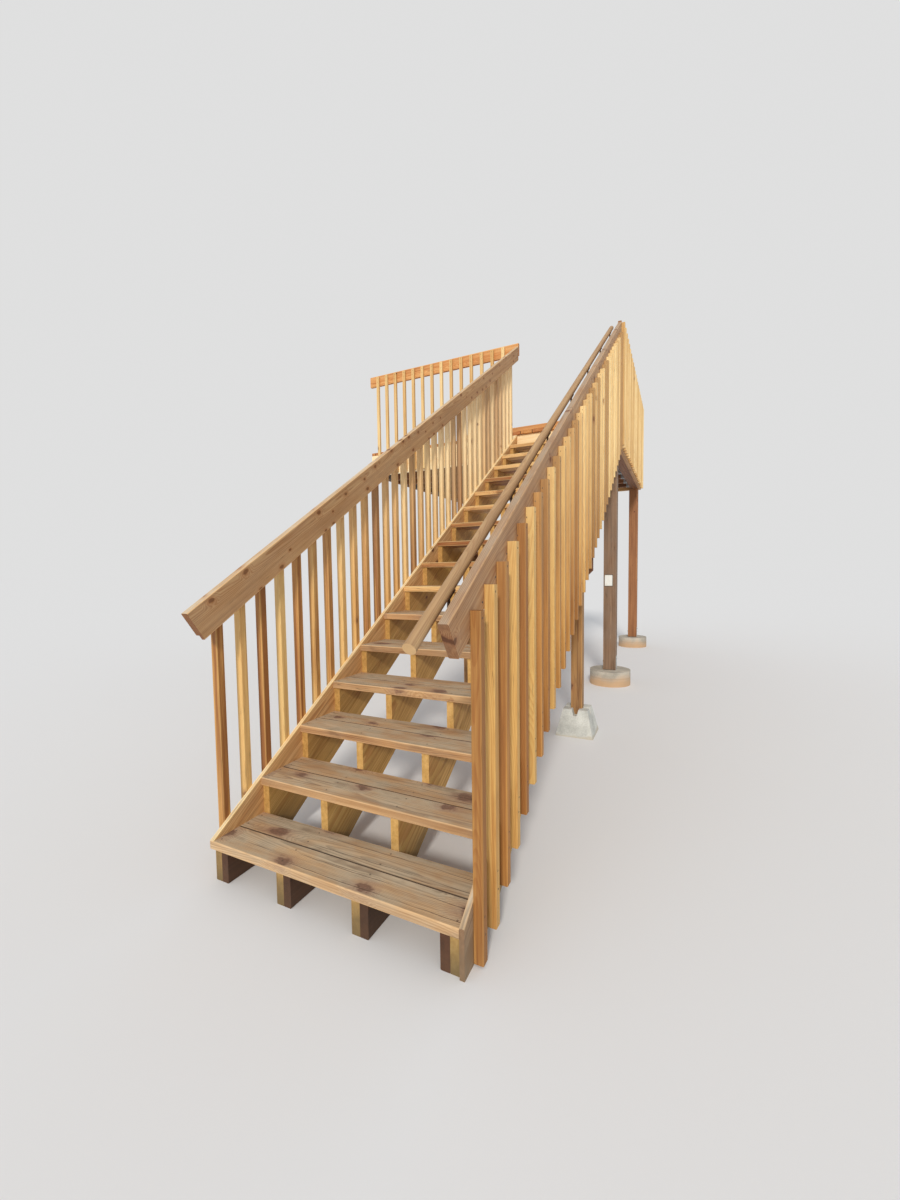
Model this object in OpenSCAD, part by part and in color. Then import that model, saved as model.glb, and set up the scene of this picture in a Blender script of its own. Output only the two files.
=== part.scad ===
// Outdoor timber stair: an open-riser flight on four cut stringers that climbs to a raised deck.
// Sizes are in millimetres. X runs across the flight, Y along its run and Z up. The stair is set out
// from its left stringer, its first nosing and the ground, and then moved so that the origin is the
// middle of the ledger's outer face, where the deck is bolted to a wall.

/* [Flight] */
// Clear length of a tread, between the skirt boards
tread_len = 1190; // [900:5:1300]
// Rise of each step but the last
rise = 178; // [160:1:195]
// Going of each step, nosing to nosing
run = 272; // [262:1:282]
// Rise from the last tread to the deck
last_rise = 227; // [180:1:240]
// Number of treads below the deck
treads = 16; // [12:1:16]

/* [Lumber] */
// Thickness of treads, stringers, rails, joists and deck boards
board_t = 38; // [36:1:42]
// Width of tread boards, deck boards and rails
board_w = 140; // [135:1:145]
// Depth of stringers, rims, joists and beam plies
deep_w = 286; // [270:1:300]
// Gap between the two boards of a tread
tread_gap = 4; // [2:1:6]
// Thickness of the skirt boards
skirt_t = 19; // [18:1:25]
// Depth of the skirt boards
skirt_w = 235; // [220:1:250]
// Width of the eased edge along a board
ease = 3; // [1:0.5:4]

/* [Railing] */
// Height of the rails' top edge, above the nosings and above the deck
rail_h = 1067; // [914:1:1100]
// Side of a square baluster
baluster = 38; // [32:1:42]
// Spacing of the balusters along the flight, measured level
stair_pitch = 125; // [110:1:138]
// Largest spacing of the balusters around the deck
guard_pitch = 143.5; // [120:0.5:145]
// Diameter of the round handrail
handrail_d = 45; // [38:1:50]
// Distance from the handrail's centre line to the rail beside it
handrail_off = 53; // [50:1:65]

/* [Deck] */
// Width of the deck, wall to outer rim
deck_w = 3391; // [3000:1:3600]
// Length of the deck, along the wall
deck_d = 3251; // [2400:1:3400]
// Gap between deck boards
deck_gap = 5; // [3:1:8]
// Spacing of the deck joists
joist_pitch = 406; // [380:1:610]

/* [Supports] */
// Side of the deck posts
post_w = 140; // [120:1:150]
// Diameter of the round footings
footing_d = 457; // [400:1:510]
// Height of the round footings above the ground
footing_h = 170; // [100:1:200]
// Side of the posts under the middle of the flight
mid_post_w = 89; // [85:1:100]
// Side of a pier block at the ground
pier_base = 298; // [280:1:320]
// Side of a pier block at its top
pier_top = 197; // [190:1:220]
// Height of a pier block
pier_h = 215; // [180:1:230]

/* [Hidden] */
slope = rise / run;
pitch_angle = atan(slope);
// What a depth square to the slope measures when plumb
plumb = 1 / cos(pitch_angle);
tread_depth = 2 * board_w + tread_gap;
overhang = tread_depth - run;

// The flight's top, where the stringers meet the front rim
rim_y = (treads - 1) * run + tread_depth;
deck_z = treads * rise + last_rise;
frame_top = deck_z - board_t;
frame_low = frame_top - deep_w;
rim_back_y = rim_y + deck_d;
nosing_out = 30;

// Planes across the flight
skirt_out_l = -skirt_t;
skirt_out_r = tread_len + skirt_t;
wall_x = skirt_out_r - deck_w;

// Left faces of the four stringers, closer together at the left
stringer_x = [0, tread_len * 0.305, tread_len * 0.624, tread_len - board_t];
stringer_y = overhang;
stringer_top = rise - board_t;
foot_block_len = 250;

// Skirts, rails and balusters
skirt_front_l = 36;
skirt_front_r = 2;
rail_front = -85;
rail_clip = 22;
baluster_drop = 75;
baluster_first = 74;
baluster_low = -80;
floor_gap = 8;
guard_drop = 25;
guard_low = frame_low + 15;
guard_side = 36;
guard_first = -172;

// Handrail and its brackets
handrail_x = skirt_out_r - board_t - handrail_off;
handrail_z = rise + rail_h - 19;
handrail_y0 = -160;
handrail_y1 = rim_y - 100;
bracket_first = 105;
bracket_pitch = 672;
bracket_drop = 78;

// Beam of three plies along the deck's outer side, and its posts
ply_gap = 1;
beam_out = skirt_out_r - board_t;
post_x = beam_out - post_w;
post_y = [rim_y + board_t, rim_back_y - board_t - post_w];
base_plate = 5;
base_strap = 3;

// Support under the middle of the flight
mid_post_y = 2536;
mid_post_in = 66;
mid_beam_w = 235;
mid_beam_clip = 72;
slot_depth = 50;
slot_w = 42;

// The ledger's outer face has the origin at its middle
origin = [wall_x, (rim_y + rim_back_y) / 2, (frame_top + frame_low) / 2];

function two_digits(n) = n < 10 ? str("0", n) : str(n);
function tread_name(i) = str("tread_", two_digits(i));
// Height of the line through the nosings, at a distance along the flight
function nosing_z(y) = rise + slope * y;
function stringer_low(y) = stringer_top + slope * (y - stringer_y) - deep_w * plumb;
function skirt_low(y) = nosing_z(y) - skirt_w * plumb;
function rail_z(y) = nosing_z(y) + rail_h;

// Moves what is set out from the foot of the flight to the frame of the ledger
module at_wall() {
    translate(-origin) children();
}

// Section of a board with its four long edges eased
module eased(w, t) {
    polygon([
        [ease, 0], [w - ease, 0], [w, ease], [w, t - ease],
        [w - ease, t], [ease, t], [0, t - ease], [0, ease]
    ]);
}

// Boards that lie or stand along one axis, from the low corner of their box
module board_x(len, d, h) {
    rotate([90, 0, 90]) linear_extrude(len) eased(d, h);
}

module board_y(w, len, h) {
    translate([0, len, 0]) rotate([90, 0, 0]) linear_extrude(len) eased(w, h);
}

module upright(w, d, h) {
    linear_extrude(h) eased(w, d);
}

// A side profile in Y and Z, made into a plank of a thickness along X
module plank(x, t) {
    translate([x, 0, 0]) rotate([90, 0, 90]) linear_extrude(t) children();
}

// A sloped board on edge: its top edge follows the nosings at a height, its ends are cut by trim
module sloped_board(x, t, w, top, y0, y1) {
    translate([x, y0, top + slope * y0])
        rotate([pitch_angle, 0, 0])
        translate([0, 0, -w])
        board_y(t, (y1 - y0) * plumb, w);
}

// Everything in front of a plumb cut
module before_cut(y) {
    translate([-500, y - 9000, -500]) cube([3000, 9000, 6000]);
}

// Stringers and feet
module stringer(n) {
    last_y = (treads - 1) * run + stringer_y;
    foot_y = stringer_y + (deep_w * plumb - stringer_top) / slope;
    steps = [
        for (i = [1:treads], back = [0, 1])
            [(i - 1 + back) * run + stringer_y, i * rise - board_t]
    ];
    color("burlywood") at_wall()
        plank(stringer_x[n - 1], board_t)
        intersection() {
            polygon(concat(
                [[stringer_y, 0]], steps,
                [[last_y + run, stringer_low(last_y + run)], [foot_y, 0]]
            ));
            square([rim_y, deck_z]);
        }
}

// Treated blocks at the stringers' feet, on the right of the first three and the left of the last
module foot_blocks() {
    color("saddlebrown") at_wall()
        for (n = [0:3])
            translate([stringer_x[n] + (n < 3 ? board_t : -board_t), stringer_y, 0])
                board_y(board_t, foot_block_len, stringer_top);
}

// Treads of two boards each; the first one's front board runs out over the left skirt
module tread(i) {
    left = i == 1 ? skirt_t : 0;
    color("tan") at_wall() translate([0, (i - 1) * run, i * rise - board_t]) {
        translate([-left, 0, 0]) board_x(tread_len + left, board_w, board_t);
        translate([0, board_w + tread_gap, 0]) board_x(tread_len, board_w, board_t);
    }
}

// Skirt boards, with their top edges on the line of the nosings
skirt_foot = (skirt_w * plumb - rise) / slope;

// The left one is notched round the first tread, and its tip lies on that tread
module skirt_left() {
    notch = board_w + 2;
    color("sandybrown") at_wall()
        plank(skirt_out_l, skirt_t) polygon([
            [0, rise], [rim_y, nosing_z(rim_y)], [rim_y, skirt_low(rim_y)], [skirt_foot, 0],
            [skirt_front_l, 0], [skirt_front_l, stringer_top], [notch, stringer_top], [notch, rise]
        ]);
}

module skirt_right() {
    color("sandybrown") at_wall()
        plank(tread_len, skirt_t) polygon([
            [skirt_front_r, nosing_z(skirt_front_r)], [rim_y, nosing_z(rim_y)],
            [rim_y, skirt_low(rim_y)], [skirt_foot, 0], [skirt_front_r, 0]
        ]);
}

// Cross beam under the stringers, ripped to their slope, with both lower corners cut off
module mid_beam() {
    y = mid_post_y + mid_post_w;
    low = stringer_low(y) - mid_beam_w;
    color("saddlebrown") at_wall()
        intersection() {
            plank(0, tread_len) polygon([
                [y, low], [y, stringer_low(y)],
                [y + board_t, stringer_low(y + board_t)], [y + board_t, low]
            ]);
            translate([0, y + board_t, low]) rotate([90, 0, 0]) linear_extrude(board_t) polygon([
                [mid_beam_clip, 0], [tread_len - mid_beam_clip, 0], [tread_len, mid_beam_clip],
                [tread_len, 2 * mid_beam_w], [0, 2 * mid_beam_w], [0, mid_beam_clip]
            ]);
        }
}

// Left faces of the two middle posts
mid_post_x = [mid_post_in, tread_len - mid_post_in - mid_post_w];

module mid_post(n) {
    top = stringer_low(mid_post_y + mid_post_w) - 30;
    low = pier_h - slot_depth;
    color("peru") at_wall() translate([mid_post_x[n], mid_post_y, low])
        upright(mid_post_w, mid_post_w, top - low);
}

// Precast pier block: a tapered square block, cross slots in its top and a pocket for the post
module pier_taper() {
    inset = (pier_base - pier_top) / 2;
    rotate([90, 0, 0]) linear_extrude(2 * pier_base, center = true) polygon([
        [-pier_base / 2, 0], [pier_base / 2, 0],
        [pier_base / 2 - inset, pier_h], [inset - pier_base / 2, pier_h]
    ]);
}

module slot_cut() {
    rotate([90, 0, 0]) linear_extrude(2 * pier_base, center = true) polygon([
        [-slot_w * 0.32, -slot_depth], [slot_w * 0.32, -slot_depth],
        [slot_w * 0.62, 1], [-slot_w * 0.62, 1]
    ]);
}

module pier_block(n) {
    color("lightgray") at_wall()
        translate([mid_post_x[n] + mid_post_w / 2, mid_post_y + mid_post_w / 2, 0])
        difference() {
            intersection() {
                pier_taper();
                rotate(90) pier_taper();
            }
            translate([0, 0, pier_h]) slot_cut();
            translate([0, 0, pier_h]) rotate(90) slot_cut();
            translate([-mid_post_w / 2, -mid_post_w / 2, pier_h - slot_depth])
                cube([mid_post_w, mid_post_w, slot_depth + 1]);
        }
}

// Deck frame
module rim_front() {
    color("burlywood") at_wall() translate([wall_x, rim_y, frame_low])
        board_x(deck_w, board_t, deep_w);
}

module rim_rear() {
    color("burlywood") at_wall() translate([wall_x, rim_back_y - board_t, frame_low])
        board_x(deck_w, board_t, deep_w);
}

module rim_right() {
    color("burlywood") at_wall() translate([beam_out, rim_y + board_t, frame_low])
        board_y(board_t, deck_d - 2 * board_t, deep_w);
}

module ledger() {
    color("sienna") at_wall() translate([wall_x, rim_y + board_t, frame_low])
        board_y(board_t, deck_d - 2 * board_t, deep_w);
}

module deck_beam() {
    color("sienna") at_wall()
        for (ply = [0:2])
            translate([beam_out - board_t - ply * (board_t + ply_gap), rim_y + board_t, frame_low])
                board_y(board_t, deck_d - 2 * board_t, deep_w);
}

module joists() {
    x0 = wall_x + board_t;
    x1 = beam_out - 3 * board_t - 2 * ply_gap;
    count = ceil((deck_d - 2 * board_t) / joist_pitch) - 1;
    step = (deck_d - board_t) / (count + 1);
    color("sienna") at_wall()
        for (i = [1:count])
            translate([x0, rim_y + i * step, frame_low]) board_x(x1 - x0, board_t, deep_w);
}

// Deck boards run from front to back and stand out a little over the stair's opening
module deck_boards() {
    step = board_w + deck_gap;
    count = ceil(deck_w / step);
    color("peru") at_wall()
        difference() {
            for (i = [0:count - 1]) {
                x1 = skirt_out_r - i * step;
                x0 = max(x1 - board_w, wall_x);
                translate([x0, rim_y - nosing_out, frame_top])
                    board_y(x1 - x0, deck_d + nosing_out, board_t);
            }
            translate([wall_x - 1, rim_y - nosing_out - 1, frame_top - 1])
                cube([-wall_x + 1, nosing_out + 1, board_t + 2]);
            translate([tread_len, rim_y - nosing_out - 1, frame_top - 1])
                cube([skirt_t + 1, nosing_out + 1, board_t + 2]);
        }
}

// Deck posts on round footings, each in a metal base
footing_x = post_x + post_w / 2;

module deck_post(n) {
    low = footing_h + base_plate;
    color(n == 0 ? "rosybrown" : "indianred") at_wall() translate([post_x, post_y[n], low])
        upright(post_w, post_w, frame_low - low);
}

module post_bases() {
    strap_w = 80;
    strap_h = 165;
    color("silver") at_wall()
        for (y = post_y) translate([post_x, y + (post_w - strap_w) / 2, footing_h]) {
            translate([-base_strap, 0, 0]) cube([post_w + 2 * base_strap, strap_w, base_plate]);
            for (x = [-base_strap, post_w]) translate([x, 0, 0])
                cube([base_strap, strap_w, strap_h]);
        }
}

module footing(n) {
    color("gainsboro") at_wall() translate([footing_x, post_y[n] + post_w / 2, 0])
        cylinder(h = footing_h, d = footing_d, $fn = 96);
}

// Rails of the flight: square cut at the foot, plumb cut at the top
module rail_left() {
    color("goldenrod") at_wall()
        difference() {
            intersection() {
                sloped_board(skirt_out_l, board_t, board_w, rise + rail_h, rail_front, rim_y + 200);
                before_cut(rim_y);
            }
            translate([-500, rail_front, rail_z(rail_front)]) rotate([pitch_angle, 0, 0])
                translate([0, 0, -board_w]) rotate([45, 0, 0])
                cube([1000, rail_clip * sqrt(2), rail_clip * sqrt(2)], center = true);
        }
}

module rail_right() {
    color("goldenrod") at_wall()
        intersection() {
            sloped_board(beam_out, board_t, board_w, rise + rail_h, rail_front, rim_y + 200);
            before_cut(rim_y + board_t);
        }
}

// Balusters stand on the outer faces of the skirts and the rails
module stair_balusters(x) {
    count = floor((rim_y - 2 * baluster - baluster_first) / stair_pitch) + 1;
    for (i = [0:count - 1]) {
        y = baluster_first + i * stair_pitch;
        low = max(floor_gap, baluster_low + slope * y);
        translate([x, y, low]) upright(baluster, baluster, rail_z(y) - baluster_drop - low);
    }
}

module balusters_left() {
    color("wheat") at_wall() stair_balusters(skirt_out_l - baluster);
}

module balusters_right() {
    color("wheat") at_wall() stair_balusters(skirt_out_r);
}

// Round handrail and the brackets that hold it off the right rail
module handrail() {
    color("burlywood") at_wall()
        translate([handrail_x, handrail_y0, handrail_z + slope * handrail_y0])
        rotate([pitch_angle - 90, 0, 0])
        cylinder(h = (handrail_y1 - handrail_y0) * plumb, d = handrail_d, $fn = 48);
}

module bracket(y) {
    under = handrail_z + slope * y - handrail_d / 2 * plumb;
    plate_z = handrail_z + slope * y - bracket_drop;
    rod = 12;
    plate_t = 4;
    saddle_t = 3;
    // Round plate on the rail, arm out to the handrail, and stem up to it
    translate([beam_out - plate_t, y, plate_z]) rotate([0, 90, 0])
        cylinder(h = plate_t, d = 56, $fn = 32);
    translate([handrail_x, y, plate_z]) rotate([0, 90, 0])
        cylinder(h = handrail_off - plate_t, d = rod, $fn = 24);
    translate([handrail_x, y, plate_z]) sphere(d = rod, $fn = 24);
    translate([handrail_x, y, plate_z]) cylinder(h = under - plate_z - saddle_t, d = rod, $fn = 24);
    // Saddle strip along the underside
    translate([handrail_x, y, under]) rotate([pitch_angle, 0, 0])
        translate([-12, -35, -saddle_t * 2]) cube([24, 70, saddle_t * 2]);
}

module handrail_brackets() {
    color("dimgray") at_wall()
        for (y = [bracket_first : bracket_pitch : handrail_y1]) bracket(y);
}

// Guard around the deck: a rail on edge over the rim, and balusters on its outer face
module guard_rail_front() {
    color("goldenrod") at_wall() translate([wall_x, rim_y, deck_z + rail_h - board_w])
        board_x(skirt_out_l + board_t - wall_x, board_t, board_w);
}

module guard_rail_right() {
    color("goldenrod") at_wall() translate([beam_out, rim_y + board_t, deck_z + rail_h - board_w])
        board_y(board_t, deck_d - board_t, board_w);
}

module guard_rail_rear() {
    color("goldenrod") at_wall()
        translate([wall_x, rim_back_y - board_t, deck_z + rail_h - board_w])
        board_x(beam_out - wall_x, board_t, board_w);
}

module guard_baluster() {
    upright(baluster, baluster, deck_z + rail_h - guard_drop - guard_low);
}

// Positions of evenly spread balusters, by their low faces
function spread(from, to) =
    let (gaps = ceil((to - baluster - from) / guard_pitch))
    [for (i = [0:gaps]) from + i * (to - baluster - from) / gaps];

module guard_balusters_front() {
    count = floor((guard_first - wall_x - baluster / 2) / guard_pitch) + 1;
    color("wheat") at_wall()
        for (i = [0:count - 1])
            translate([guard_first - i * guard_pitch - baluster / 2, rim_y - baluster, guard_low])
                guard_baluster();
}

module guard_balusters_right() {
    color("wheat") at_wall()
        for (y = spread(rim_y + guard_side, rim_back_y - guard_side))
            translate([skirt_out_r, y, guard_low]) guard_baluster();
}

module guard_balusters_rear() {
    color("wheat") at_wall()
        for (x = spread(wall_x + 90, skirt_out_r - guard_side))
            translate([x, rim_back_y, guard_low]) guard_baluster();
}

stringer(1);  // stringer_1
stringer(2);  // stringer_2
stringer(3);  // stringer_3
stringer(4);  // stringer_4
foot_blocks();
for (i = [1:treads]) tread(i);
skirt_left();
skirt_right();
mid_beam();
mid_post(0);  // mid_post_left
mid_post(1);  // mid_post_right
pier_block(0);  // pier_block_left
pier_block(1);  // pier_block_right
rim_front();
rim_right();
rim_rear();
ledger();
deck_beam();
joists();
deck_boards();
deck_post(0);  // post_near
deck_post(1);  // post_far
post_bases();
footing(0);  // footing_near
footing(1);  // footing_far
rail_left();
rail_right();
balusters_left();
balusters_right();
handrail();
handrail_brackets();
guard_rail_front();
guard_rail_right();
guard_rail_rear();
guard_balusters_front();
guard_balusters_right();
guard_balusters_rear();
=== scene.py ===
"""Looks for the timber deck stairs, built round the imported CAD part."""
import math
import random
from collections import namedtuple

import bmesh
import bpy
from mathutils import Matrix, Vector


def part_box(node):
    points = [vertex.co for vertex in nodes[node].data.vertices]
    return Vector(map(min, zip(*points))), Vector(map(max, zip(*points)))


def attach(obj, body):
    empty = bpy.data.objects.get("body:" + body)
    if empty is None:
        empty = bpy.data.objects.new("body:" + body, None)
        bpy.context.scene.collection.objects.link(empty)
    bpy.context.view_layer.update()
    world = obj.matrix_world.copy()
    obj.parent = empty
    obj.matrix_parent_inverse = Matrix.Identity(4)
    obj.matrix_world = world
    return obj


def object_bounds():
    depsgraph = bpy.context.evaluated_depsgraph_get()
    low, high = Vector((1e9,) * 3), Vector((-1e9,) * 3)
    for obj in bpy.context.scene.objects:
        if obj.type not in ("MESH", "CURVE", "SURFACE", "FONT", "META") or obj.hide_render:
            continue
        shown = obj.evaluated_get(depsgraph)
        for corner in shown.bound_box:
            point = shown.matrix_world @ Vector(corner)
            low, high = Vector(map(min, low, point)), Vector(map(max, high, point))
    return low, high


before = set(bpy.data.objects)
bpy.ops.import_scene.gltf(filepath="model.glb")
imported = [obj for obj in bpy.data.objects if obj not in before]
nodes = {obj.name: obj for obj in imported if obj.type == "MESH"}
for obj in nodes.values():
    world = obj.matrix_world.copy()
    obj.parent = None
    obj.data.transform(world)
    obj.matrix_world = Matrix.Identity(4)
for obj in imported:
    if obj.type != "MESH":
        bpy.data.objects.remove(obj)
cad_low, cad_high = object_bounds()

# The stair's setting-out in mm, from its left stringer, first nosing and ground. WALL is where
# the row frame's origin lies in it, T is a thickness, W a width and H a height
WALL = (-2182.0, 5989.5, 2894.0)
RISE, RUN, TREADS = 178.0, 272.0, 16
SLOPE = RISE / RUN
COS = math.cos(math.atan(SLOPE))
SIN = math.sin(math.atan(SLOPE))
BOARD_T, BOARD_W, DEEP_W, TREAD_GAP = 38.0, 140.0, 286.0, 4.0
STRINGER_X = [0.0, 362.95, 742.56, 1152.0]
STRINGER_PITCH = 380.0
RIM_Y, BACK_Y, DECK_Z = 4364.0, 7615.0, 3075.0
BEAM_OUT, SKIRT_OUT = 1171.0, 1209.0
SKIRT_T, SKIRT_W = 19.0, 235.0
FRAME_LOW = DECK_Z - BOARD_T - DEEP_W
PLIES, PLY_GAP = 3, 1.0
PLIES_LOW = BEAM_OUT - PLIES * BOARD_T - (PLIES - 1) * PLY_GAP
JOISTS = 7
JOIST_STEP = (BACK_Y - RIM_Y - BOARD_T) / (JOISTS + 1)
DECK_BOARDS, DECK_PITCH = 24, 145.0
DECK_LOW = SKIRT_OUT - (DECK_BOARDS - 1) * DECK_PITCH - BOARD_W
FOOTING_H = 170.0
POST_X = (1031.0, 1171.0)
POST_Y = (4402.0, 7437.0)
POST_W = 140.0

# Rails and balusters, in mm. RAIL_HALF is half of a sloping rail's plumb height, two lengths of
# the right rail meet at RAIL_JOINT, and FRONT_END is the middle of the front guard's last baluster
GUARD_H = 1067.0
GUARD_TOP = DECK_Z + GUARD_H
RAIL_HALF = 84.0
RAIL_JOINT = 1720.0
BALUSTER = 38.0
FLIGHT_LOW, FLIGHT_PITCH, FLIGHT_COUNT = 74.0, 125.0, 34
GUARD_PITCH, GUARD_INSET, WALL_INSET = 143.5, 36.0, 90.0
FRONT_COUNT, FRONT_END = 14, -172.0
FRONT_LOW = FRONT_END - (FRONT_COUNT - 1) * GUARD_PITCH - BALUSTER / 2

# A row of guard balusters: its side, the axis it runs along, the first one's low side,
# the pitch, how many there are, their outer face and the way it looks
GuardRow = namedtuple("GuardRow", "side axis low pitch count face way")


def even_row(side, axis, low, high, face, way):
    """Guard balusters at an even pitch between the low sides of the first and the last."""
    gaps = math.ceil((high - low) / GUARD_PITCH)
    return GuardRow(side, axis, low, (high - low) / gaps, gaps + 1, face, way)


GUARD_ROWS = (
    GuardRow("front", "x", FRONT_LOW, GUARD_PITCH, FRONT_COUNT, RIM_Y - BALUSTER, -1),
    even_row("right", "y", RIM_Y + GUARD_INSET, BACK_Y - GUARD_INSET - BALUSTER,
             SKIRT_OUT + BALUSTER, 1),
    even_row("rear", "x", WALL[0] + WALL_INSET, SKIRT_OUT - GUARD_INSET - BALUSTER,
             BACK_Y + BALUSTER, 1),
)

rng = random.Random(7)


def at(x, y, z):
    """A point given in mm from the foot of the flight, in the row frame in metres."""
    return Vector(((x - WALL[0]) / 1000, (y - WALL[1]) / 1000, (z - WALL[2]) / 1000))


def srgb(r, g, b):
    """A colour given as 0 to 255 display values, as linear RGBA."""
    out = []
    for value in (r, g, b):
        value /= 255
        out.append(value / 12.92 if value <= 0.04045 else ((value + 0.055) / 1.055) ** 2.4)
    return (*out, 1.0)


def shade(tone, by):
    """A display colour made lighter or darker."""
    return tuple(min(255.0, value * by) for value in tone)


class Value:
    """An output in a shader graph. Arithmetic on one that is a number adds Math nodes."""

    def __init__(self, graph, socket):
        self.graph = graph
        self.socket = socket

    def __add__(self, other):
        return self.graph.math("ADD", self, other)

    def __radd__(self, other):
        return self.graph.math("ADD", other, self)

    def __sub__(self, other):
        return self.graph.math("SUBTRACT", self, other)

    def __rsub__(self, other):
        return self.graph.math("SUBTRACT", other, self)

    def __mul__(self, other):
        return self.graph.math("MULTIPLY", self, other)

    def __rmul__(self, other):
        return self.graph.math("MULTIPLY", other, self)

    def __truediv__(self, other):
        return self.graph.math("DIVIDE", self, other)

    def __abs__(self):
        return self.graph.math("ABSOLUTE", self)


class Graph:
    """The node tree of a material or the world, built by calls."""

    def __init__(self, owner):
        owner.use_nodes = True
        self.tree = owner.node_tree
        self.kept = {}

    def node(self, kind, settings=None, inputs=None, out=0):
        """Adds a node: its type, its settings, and the values or links of its sockets."""
        made = self.tree.nodes.new("ShaderNode" + kind)
        for key, value in (settings or {}).items():
            setattr(made, key, value)
        for key, value in (inputs or {}).items():
            self.put(made.inputs[key], value)
        return Value(self, made.outputs[out])

    def put(self, socket, value):
        """Gives a socket a link or a constant."""
        if isinstance(value, Value):
            self.tree.links.new(value.socket, socket)
        else:
            socket.default_value = value

    def math(self, operation, *values):
        return self.node("Math", {"operation": operation}, dict(enumerate(values)))

    def split(self, key, source, output):
        """The three numbers of a vector, made once."""
        if key not in self.kept:
            vector = self.node(source, out=output)
            self.kept[key] = [self.node("SeparateXYZ", inputs={0: vector}, out=i) for i in range(3)]
        return self.kept[key]

    def position(self):
        return self.split("position", "TexCoord", "Object")

    def normal(self):
        return self.split("normal", "NewGeometry", "True Normal")

    def vector(self, x, y, z):
        return self.node("CombineXYZ", inputs={0: x, 1: y, 2: z})

    def step(self, value, low, high, to=(0.0, 1.0)):
        """A smooth step of value, which gives the first of to at low and the second at high."""
        limits = {"Value": value, "From Min": low, "From Max": high, "To Min": to[0], "To Max": to[1]}
        return self.node("MapRange", {"interpolation_type": "SMOOTHSTEP"}, limits)

    def noise(self, vector, scale, detail=2.0, rough=0.5, warp=0.0):
        sockets = {"Vector": vector, "Scale": scale, "Detail": detail, "Roughness": rough,
                   "Distortion": warp}
        return self.node("TexNoise", inputs=sockets)

    def cells(self, vector, scale, out, randomness=1.0, dimensions="3D"):
        sockets = {"Vector": vector, "Scale": scale, "Randomness": randomness}
        return self.node("TexVoronoi", {"voronoi_dimensions": dimensions}, sockets, out)

    def channel(self, colour, index):
        """One of a colour's red, green and blue."""
        return self.node("SeparateColor", inputs={0: colour}, out=index)

    def chance(self, number):
        """A random number from 0 to 1 that belongs to another number."""
        return self.node("TexWhiteNoise", {"noise_dimensions": "1D"}, {"W": number})

    def mix(self, share, first, second, blend="MIX"):
        settings = {"data_type": "RGBA", "blend_type": blend}
        return self.node("Mix", settings, {0: share, 6: first, 7: second}, out=2)

    def tint(self, share, base, colour):
        """Multiplies a colour into the base by a share from 0 to 1."""
        return self.mix(share, base, colour, "MULTIPLY")

    def clamp(self, value):
        return self.node("Clamp", inputs={"Value": value})


class Finish(Graph):
    """The node tree of one material."""

    def __init__(self, name):
        self.material = bpy.data.materials.new(name)
        super().__init__(self.material)
        self.bsdf = self.tree.nodes["Principled BSDF"]

    def feed(self, colour, roughness, height, bump=0.3, depth=0.0016):
        """Feeds what changes over the surface: its colour, its roughness and its relief."""
        relief = self.node("Bump", inputs={"Strength": bump, "Distance": depth, "Height": height})
        for key, value in (("Base Color", colour), ("Roughness", roughness), ("Normal", relief)):
            self.put(self.bsdf.inputs[key], value)


class Board:
    """Where a point lies on its board: along the grain, across its face and through it, in metres.

    number tells like boards apart. half_v and half_w are half the board's width and thickness,
    where its section is a plain rectangle. grain is the grain's direction against the normal.
    gap_v grows from the board's middle towards a close neighbour. seam is the distance to a joint.
    """

    def __init__(self, u, v, w, grain, number=0.0, half_v=None, half_w=None, gap_v=None, seam=None):
        self.u, self.v, self.w, self.grain, self.number = u, v, w, grain, number
        self.half_v, self.half_w, self.gap_v, self.seam = half_v, half_w, gap_v, seam


def middle(node):
    """The middle of a node's box."""
    low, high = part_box(node)
    return (Vector(low) + Vector(high)) / 2


def halves(node):
    """Half of the size of a node's box."""
    low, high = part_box(node)
    return (Vector(high) - Vector(low)) / 2


def one_board(node, axis):
    """A single board that is square to the frame."""
    a = "xyz".index(axis)
    b, c = [i for i in range(3) if i != a]
    mid, half = middle(node), halves(node)

    def place(graph):
        point, facing = graph.position(), graph.normal()
        return Board(point[a], point[b] - mid[b], point[c] - mid[c], facing[a], 0.0, half[b], half[c])
    return place


# Boards nearer than this, in mm, get painted shade on the sides that face each other
CLOSE_GAP = 10.0


def board_row(node, axis, across, first, pitch, width):
    """Like boards side by side: the first one's low side, pitch and width are in mm."""
    a, b = "xyz".index(axis), "xyz".index(across)
    c = 3 - a - b
    mid, half = middle(node), halves(node)
    start = at(first, first, first)[b]

    def place(graph):
        point, facing = graph.position(), graph.normal()
        gap = pitch - width
        number = graph.math("FLOOR", (point[b] - start + gap / 2000) / (pitch / 1000))
        v = point[b] - start - number * (pitch / 1000) - width / 2000
        close = abs(v) if gap < CLOSE_GAP else None
        return Board(point[a], v, point[c] - mid[c], facing[a], number, width / 2000, half[c], close)
    return place


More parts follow.
